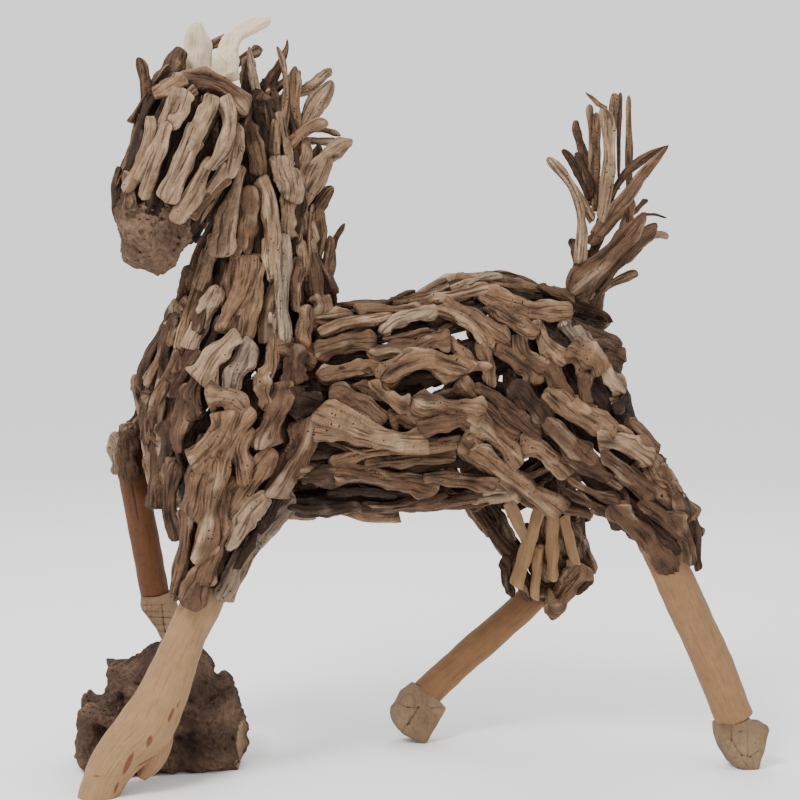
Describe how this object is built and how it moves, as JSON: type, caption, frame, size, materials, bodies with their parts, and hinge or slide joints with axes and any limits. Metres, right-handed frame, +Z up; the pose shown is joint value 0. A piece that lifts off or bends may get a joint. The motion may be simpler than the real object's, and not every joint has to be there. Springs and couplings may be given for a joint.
{
  "type": "driftwood horse statue",
  "caption": "Striding horse built of driftwood sticks over peeled legs with carved hooves, one forehoof on a root block; a free-standing ornament.",
  "frame": {"origin": "on the floor, under the middle of the statue's length and width", "axes": "+Z up, -X towards the nose, +X towards the tail, -Y the horse's near (left) side, +Y its far side"},
  "size_m": [0.9126, 0.3082, 0.99],
  "materials": {
    "peeled_wood": "smooth peeled wood, satin",
    "stained_wood": "smooth brown wood, satin",
    "carved_wood": "sawn and carved, checked, matt",
    "root_wood": "eroded root, pitted, matt",
    "bleached_wood": "bleached driftwood, matt",
    "driftwood": "weathered driftwood, worm-holed, matt"
  },
  "bodies": {
    "root": {"near_foreleg_trunk": "peeled_wood", "far_foreleg_post": "stained_wood", "near_hindleg_post": "peeled_wood", "far_hindleg_post": "peeled_wood", "far_forehoof": "carved_wood", "near_hind_hoof": "carved_wood", "far_hind_hoof": "carved_wood", "root_block": "root_wood", "muzzle": "root_wood", "far_ear": "bleached_wood", "near_ear": "bleached_wood", "brow": "driftwood", "forelock_point": "driftwood", "forelock": "driftwood", "poll_stick": "driftwood", "nose": "driftwood", "near_cheek": "driftwood", "far_cheek": "driftwood", "jaw": "driftwood", "near_shoulder": "driftwood", "far_shoulder": "driftwood", "breast": "driftwood", "throat": "driftwood", "near_neck": "driftwood", "far_neck": "driftwood", "mane_top": "driftwood", "mane_middle": "driftwood", "mane_foot": "driftwood", "back": "driftwood", "near_upper_flank": "driftwood", "near_lower_flank": "driftwood", "belly": "driftwood", "far_lower_flank": "driftwood", "far_upper_flank": "driftwood", "rump": "driftwood", "buttock": "driftwood", "near_haunch": "driftwood", "near_gaskin": "driftwood", "far_haunch": "driftwood", "far_gaskin": "driftwood", "tail_front": "driftwood", "tail_back": "driftwood", "far_knee": "driftwood", "near_elbow": "driftwood", "far_hock": "driftwood"}
  },
  "joints": []
}
